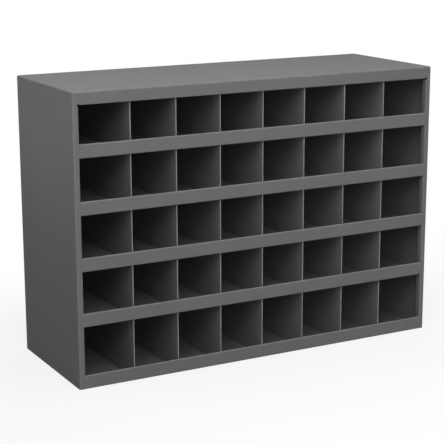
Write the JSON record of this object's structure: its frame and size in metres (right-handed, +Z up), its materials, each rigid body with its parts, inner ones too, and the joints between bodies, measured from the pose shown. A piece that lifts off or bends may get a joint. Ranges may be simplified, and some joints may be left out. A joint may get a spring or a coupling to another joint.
{
  "type": "pigeonhole bin cabinet",
  "caption": "Grey painted sheet-steel pigeonhole cabinet: open bins in rows and columns, each behind a folded front lip, in a one-piece wrapped case that stands on its base.",
  "frame": {"origin": "middle of the base, on the surface that the cabinet stands on", "axes": "+X to the right along the width, +Y from the open front to the back, +Z up"},
  "size_m": [0.8572, 0.3048, 0.6064],
  "materials": {
    "grey_paint": "semi-gloss grey baked enamel on folded sheet steel"
  },
  "bodies": {
    "root": {"case_wrapper": "grey_paint", "back_panel": "grey_paint", "bottom_panel": "grey_paint", "shelf_1": "grey_paint", "shelf_2": "grey_paint", "shelf_3": "grey_paint", "shelf_4": "grey_paint", "divider_row1_1": "grey_paint", "divider_row1_2": "grey_paint", "divider_row1_3": "grey_paint", "divider_row1_4": "grey_paint", "divider_row1_5": "grey_paint", "divider_row1_6": "grey_paint", "divider_row1_7": "grey_paint", "divider_row2_1": "grey_paint", "divider_row2_2": "grey_paint", "divider_row2_3": "grey_paint", "divider_row2_4": "grey_paint", "divider_row2_5": "grey_paint", "divider_row2_6": "grey_paint", "divider_row2_7": "grey_paint", "divider_row3_1": "grey_paint", "divider_row3_2": "grey_paint", "divider_row3_3": "grey_paint", "divider_row3_4": "grey_paint", "divider_row3_5": "grey_paint", "divider_row3_6": "grey_paint", "divider_row3_7": "grey_paint", "divider_row4_1": "grey_paint", "divider_row4_2": "grey_paint", "divider_row4_3": "grey_paint", "divider_row4_4": "grey_paint", "divider_row4_5": "grey_paint", "divider_row4_6": "grey_paint", "divider_row4_7": "grey_paint", "divider_row5_1": "grey_paint", "divider_row5_2": "grey_paint", "divider_row5_3": "grey_paint", "divider_row5_4": "grey_paint", "divider_row5_5": "grey_paint", "divider_row5_6": "grey_paint", "divider_row5_7": "grey_paint"}
  },
  "joints": []
}
